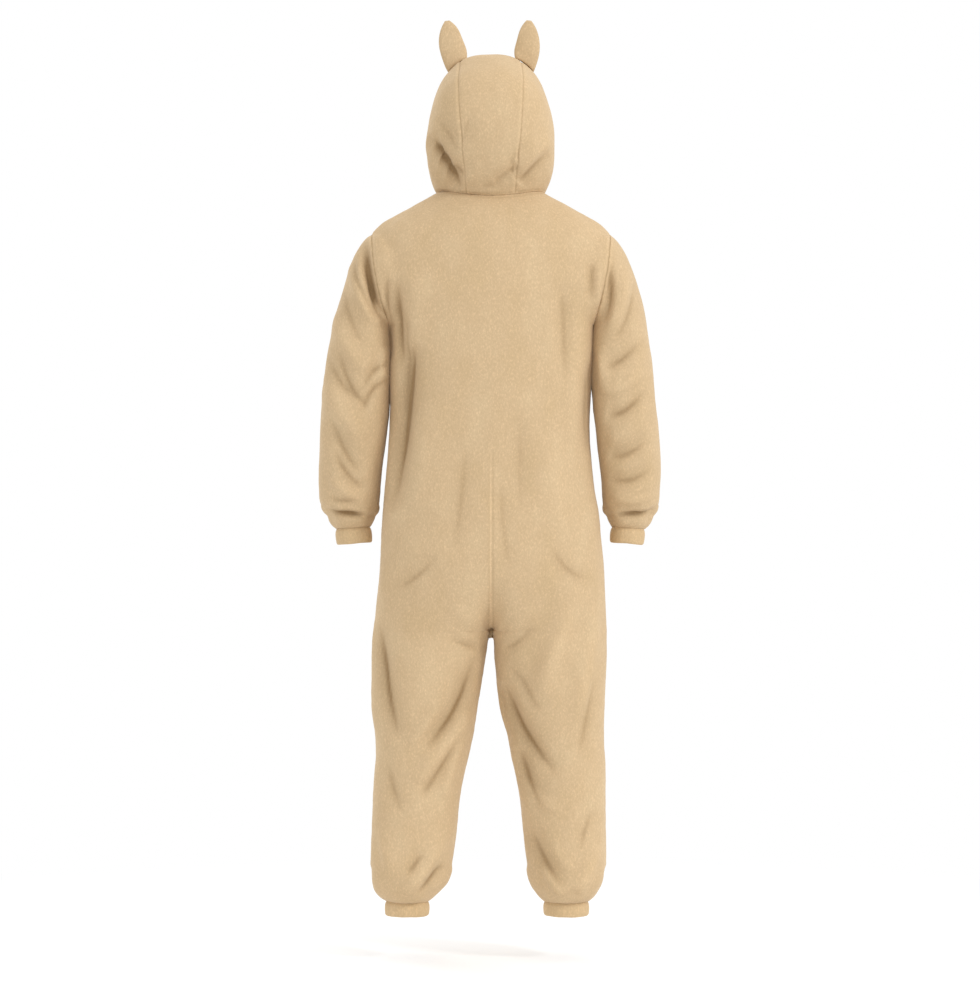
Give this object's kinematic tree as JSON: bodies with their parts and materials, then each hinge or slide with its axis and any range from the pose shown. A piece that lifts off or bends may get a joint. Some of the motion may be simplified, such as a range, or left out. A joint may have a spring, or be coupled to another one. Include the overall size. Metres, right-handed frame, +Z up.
{
  "type": "eared hooded onesie",
  "caption": "Loose one-piece fleece suit with a hood that has small upright ears, buttoned front, and gathered wrist and ankle cuffs, in its hollow worn form.",
  "frame": {"origin": "middle of the neck seam, level with the top of the shoulders, where the garment is held up", "axes": "+Z up, the front faces -Y, the garment's left side is +X"},
  "size_m": [0.691, 0.2903, 1.8022],
  "materials": {
    "fleece": "napped fleece",
    "cuff_fleece": "folded fleece band",
    "button_plastic": "satin"
  },
  "bodies": {
    "root": {"hood_centre": "fleece", "hood_left": "fleece", "hood_right": "fleece", "back_left": "fleece", "back_right": "fleece", "front_left": "fleece", "front_right": "fleece", "sleeve_left": "fleece", "sleeve_right": "fleece", "ear_left": "fleece", "ear_right": "fleece", "wrist_cuff_left": "cuff_fleece", "wrist_cuff_right": "cuff_fleece", "ankle_cuff_left": "cuff_fleece", "ankle_cuff_right": "cuff_fleece", "placket": "fleece", "button_1": "button_plastic", "button_2": "button_plastic", "button_3": "button_plastic", "button_4": "button_plastic", "button_5": "button_plastic"}
  },
  "joints": []
}
